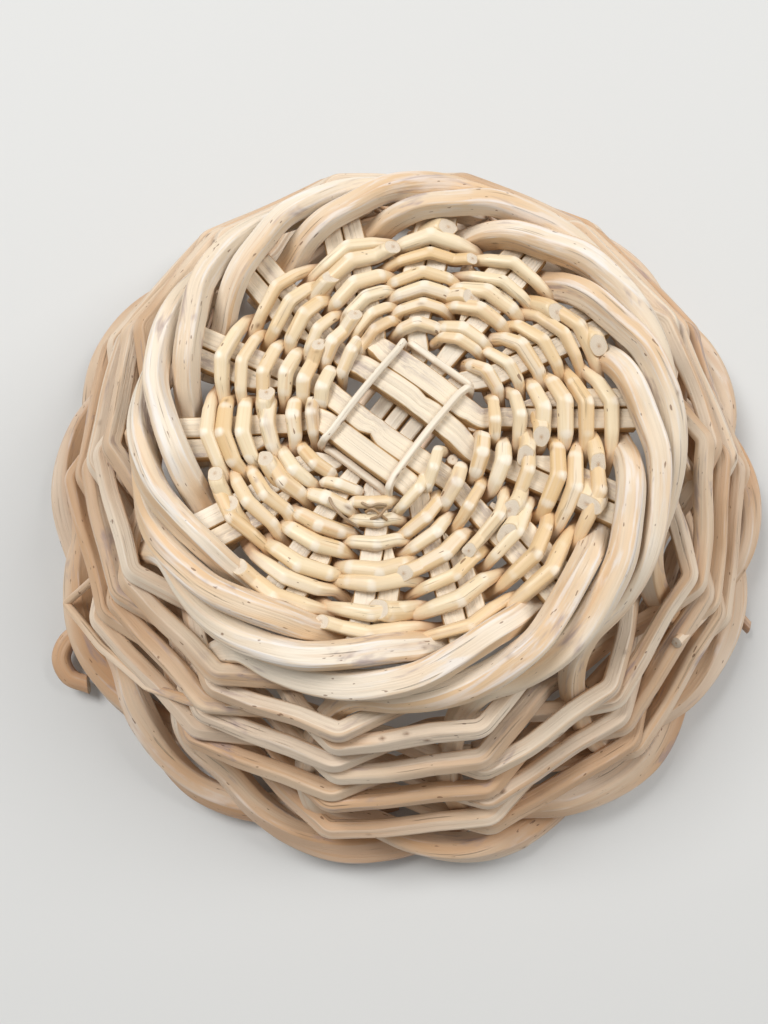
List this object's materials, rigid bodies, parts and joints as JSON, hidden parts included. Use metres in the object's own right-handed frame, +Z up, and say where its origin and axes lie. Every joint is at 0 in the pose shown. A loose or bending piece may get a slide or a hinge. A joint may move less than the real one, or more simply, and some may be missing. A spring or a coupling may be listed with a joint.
{
  "type": "woven basket",
  "caption": "Shallow round willow basket with a flared waled wall, a twisted foot ring and a scalloped rolled rim, standing upside down on its rim.",
  "frame": {"origin": "centre of the circle that the rim rests on, at the rim's lowest plane, as the basket lies in the picture with its base up", "axes": "+Z is up, from the rim to the base, so the basket's inside opens towards -Z; the sticks of the base that lie outside run 35.5 degrees clockwise of +X seen from above"},
  "size_m": [0.2392, 0.2384, 0.0875],
  "materials": {
    "split_stick": "split willow, matt, pale cream with grey streaks",
    "base_weaver": "peeled willow, satin, warm honey",
    "stake": "peeled willow, satin, pale cream, shaved flats",
    "wale_rod": "peeled willow, satin, beige with a pink cast"
  },
  "bodies": {
    "root": {"base_stick_inner_1": "split_stick", "base_stick_inner_2": "split_stick", "base_stick_inner_3": "split_stick", "base_stick_outer_1": "split_stick", "base_stick_outer_2": "split_stick", "base_stick_outer_3": "split_stick", "base_stick_outer_4": "split_stick", "base_weaver_1_1": "base_weaver", "base_weaver_1_2": "base_weaver", "base_weaver_1_3": "base_weaver", "base_weaver_1_4": "base_weaver", "base_weaver_2_1": "base_weaver", "base_weaver_2_2": "base_weaver", "base_weaver_2_3": "base_weaver", "base_weaver_2_4": "base_weaver", "binding_rod_flat": "base_weaver", "binding_rod_steep": "base_weaver", "second_stick_01": "split_stick", "second_stick_02": "split_stick", "second_stick_03": "split_stick", "second_stick_04": "split_stick", "second_stick_05": "split_stick", "second_stick_06": "split_stick", "second_stick_07": "split_stick", "second_stick_08": "split_stick", "second_stick_09": "split_stick", "second_stick_10": "split_stick", "second_stick_11": "split_stick", "second_stick_12": "split_stick", "second_stick_13": "split_stick", "second_stick_14": "split_stick", "stake_01": "stake", "stake_02": "stake", "stake_03": "stake", "stake_04": "stake", "stake_05": "stake", "stake_06": "stake", "stake_07": "stake", "stake_08": "stake", "stake_09": "stake", "stake_10": "stake", "stake_11": "stake", "stake_12": "stake", "stake_13": "stake", "stake_14": "stake", "wale_rod_1_1": "wale_rod", "wale_rod_1_2": "wale_rod", "wale_rod_1_3": "wale_rod", "wale_rod_2_1": "wale_rod", "wale_rod_2_2": "wale_rod", "wale_rod_2_3": "wale_rod", "wale_rod_3_1": "wale_rod", "wale_rod_3_2": "wale_rod", "wale_rod_3_3": "wale_rod"}
  },
  "joints": []
}
